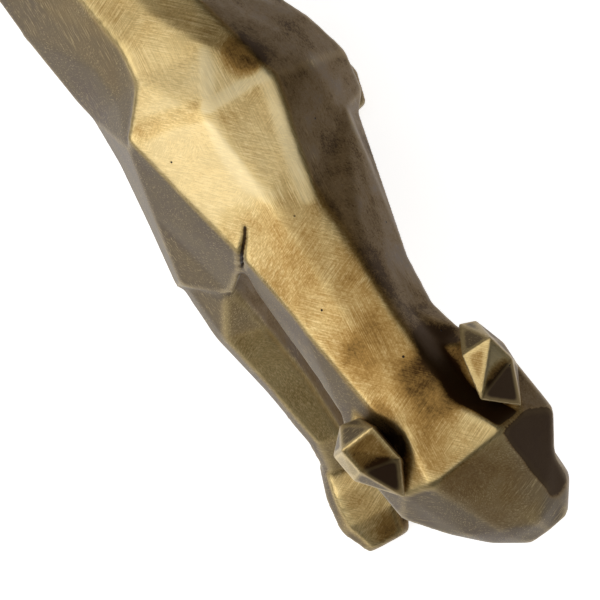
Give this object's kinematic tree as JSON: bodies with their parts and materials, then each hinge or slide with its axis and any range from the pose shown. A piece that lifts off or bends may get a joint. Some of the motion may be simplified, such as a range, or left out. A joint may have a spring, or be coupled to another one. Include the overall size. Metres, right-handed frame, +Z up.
{
  "type": "stalking big cat statue",
  "caption": "Faceted statue of a big cat stalking low, with one foreleg reaching forwards, a lowered head, blocky ears and a long tail, in an antique brass finish.",
  "frame": {"origin": "centre of the bounding box in plan, on the plane of the four pads' undersides", "axes": "+X forwards, from the tail to the nose; +Y the cat's left; +Z up"},
  "size_m": [0.623, 0.1168, 0.124],
  "materials": {
    "antique_brass": "cold-cast resin filled with brass powder, hand brushed, with brown patina in the recesses",
    "steel": "plain drawn rod",
    "glass_fibre": "glass-fibre tube",
    "black_rubber": "moulded",
    "felt": "self-adhesive felt"
  },
  "bodies": {
    "root": {"trunk_shell": "antique_brass", "neck_head_shell": "antique_brass", "right_ear": "antique_brass", "left_ear": "antique_brass", "right_foreleg": "antique_brass", "left_foreleg": "antique_brass", "right_hindleg": "antique_brass", "left_hindleg": "antique_brass", "tail": "antique_brass", "neck_collar": "glass_fibre", "right_foreleg_rod": "steel", "left_foreleg_rod": "steel", "right_hindleg_rod": "steel", "left_hindleg_rod": "steel", "tail_rod": "steel", "right_ear_pin": "steel", "left_ear_pin": "steel", "belly_stopper": "black_rubber", "right_foreleg_pad": "felt", "left_foreleg_pad": "felt", "right_hindleg_pad": "felt", "left_hindleg_pad": "felt"}
  },
  "joints": []
}
